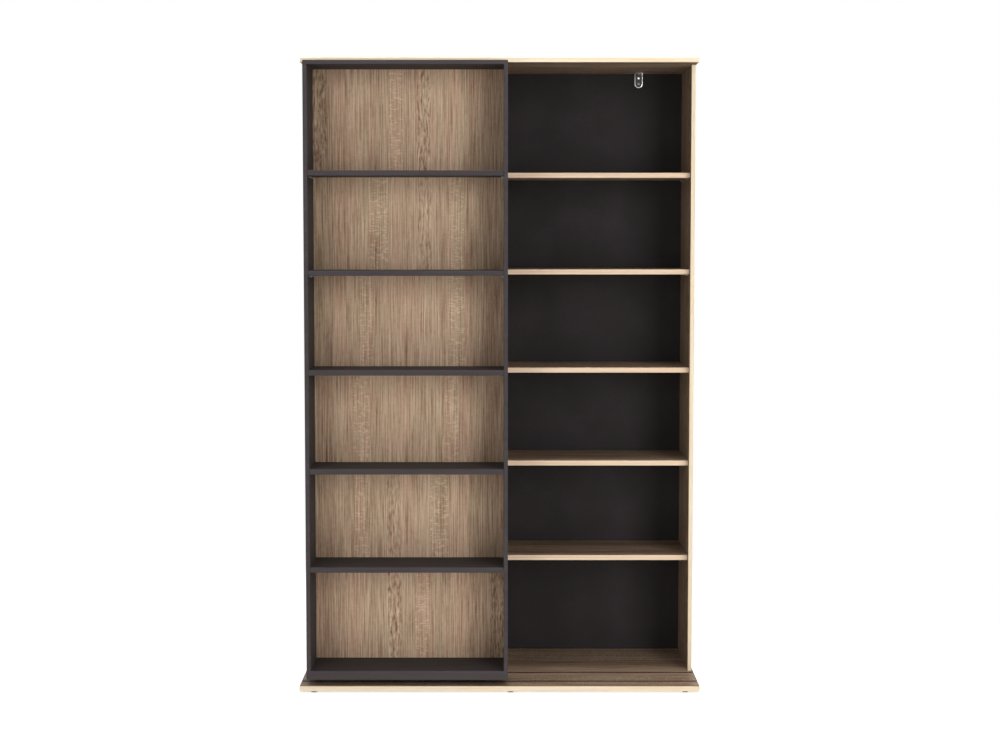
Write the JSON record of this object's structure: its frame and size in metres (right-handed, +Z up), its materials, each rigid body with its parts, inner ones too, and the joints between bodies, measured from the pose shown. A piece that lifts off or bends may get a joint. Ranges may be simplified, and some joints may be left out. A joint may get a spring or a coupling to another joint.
{
  "type": "sliding double bookcase",
  "caption": "Tall open bookcase with a half-width shelf unit that rolls along its front on a grooved base, guided by pins under the top.",
  "frame": {"origin": "on the floor, in the middle of the object's width and depth", "axes": "+X along the slide, from the rolling unit's resting end; +Y towards the wall; +Z up"},
  "size_m": [1.168, 0.4, 1.852],
  "materials": {
    "oak_decor": "chipboard in a light oak decor with fine pores and saw marks, cream edge banding on the front edges",
    "anthracite_decor": "chipboard in a plain matt anthracite decor, banded edges",
    "black_hardboard": "thin hardboard, lacquered matt black",
    "oak_backing": "thin hardboard printed in the oak decor with upright grain",
    "bright_steel": "bright zinc-plated sheet steel",
    "zinc_steel": "zinc-plated steel",
    "black_steel": "pressed sheet steel, coated satin black",
    "zinc_casting": "die-cast zinc, satin",
    "nylon": "black nylon, satin",
    "black_plastic": "black polyethylene, satin",
    "beech": "plain beech"
  },
  "bodies": {
    "carcass": {"base_board": "oak_decor", "base_glides": "black_plastic", "bracket_screws": "zinc_steel", "carcass_back_left": "black_hardboard", "carcass_back_right": "black_hardboard", "carcass_cam_bolts": "zinc_steel", "carcass_cams": "zinc_casting", "carcass_dowels": "beech", "carcass_partition": "oak_decor", "carcass_screws": "zinc_steel", "carcass_shelf_left_1": "oak_decor", "carcass_shelf_left_2": "oak_decor", "carcass_shelf_left_3": "oak_decor", "carcass_shelf_left_4": "oak_decor", "carcass_shelf_left_5": "oak_decor", "carcass_shelf_pins": "zinc_steel", "carcass_shelf_right_1": "oak_decor", "carcass_shelf_right_2": "oak_decor", "carcass_shelf_right_3": "oak_decor", "carcass_shelf_right_4": "oak_decor", "carcass_shelf_right_5": "oak_decor", "carcass_side_left": "oak_decor", "carcass_side_right": "oak_decor", "carcass_top": "oak_decor", "wall_brackets": "bright_steel"},
    "front_unit": {"guide_pins": "nylon", "housing_screws": "black_steel", "unit_back": "oak_backing", "unit_bottom": "anthracite_decor", "unit_cam_bolts": "zinc_steel", "unit_cams": "zinc_casting", "unit_dowels": "beech", "unit_front_rail": "anthracite_decor", "unit_screws": "zinc_steel", "unit_shelf_1": "anthracite_decor", "unit_shelf_2": "anthracite_decor", "unit_shelf_3": "anthracite_decor", "unit_shelf_4": "anthracite_decor", "unit_shelf_5": "anthracite_decor", "unit_shelf_pins": "zinc_steel", "unit_side_left": "anthracite_decor", "unit_side_right": "anthracite_decor", "unit_top": "anthracite_decor", "wheel_axles": "zinc_steel", "wheel_housings": "black_steel"},
    "wheel_front_left": {"wheel_front_left": "nylon"},
    "wheel_front_right": {"wheel_front_right": "nylon"},
    "wheel_rear_left": {"wheel_rear_left": "nylon"},
    "wheel_rear_right": {"wheel_rear_right": "nylon"}
  },
  "joints": [
    {"name": "unit_slide", "type": "slide", "parent": "carcass", "child": "front_unit", "axis": [1, 0, 0], "range_m": [0, 0.54]},
    {"name": "wheel_front_left_spin", "type": "hinge", "parent": "front_unit", "child": "wheel_front_left", "pos_m": [-0.504, -0.148, 0.0283], "axis": [0, 1, 0], "range_deg": [0, 2600]},
    {"name": "wheel_front_right_spin", "type": "hinge", "parent": "front_unit", "child": "wheel_front_right", "pos_m": [-0.036, -0.148, 0.0283], "axis": [0, 1, 0], "range_deg": [0, 2600]},
    {"name": "wheel_rear_left_spin", "type": "hinge", "parent": "front_unit", "child": "wheel_rear_left", "pos_m": [-0.504, -0.0595, 0.0283], "axis": [0, 1, 0], "range_deg": [0, 2600]},
    {"name": "wheel_rear_right_spin", "type": "hinge", "parent": "front_unit", "child": "wheel_rear_right", "pos_m": [-0.036, -0.0595, 0.0283], "axis": [0, 1, 0], "range_deg": [0, 2600]}
  ],
  "couplings": [
    {"joint": "wheel_front_left_spin", "follows": "unit_slide", "rad_per_m": 83.333},
    {"joint": "wheel_front_right_spin", "follows": "unit_slide", "rad_per_m": 83.333},
    {"joint": "wheel_rear_left_spin", "follows": "unit_slide", "rad_per_m": 83.333},
    {"joint": "wheel_rear_right_spin", "follows": "unit_slide", "rad_per_m": 83.333}
  ]
}
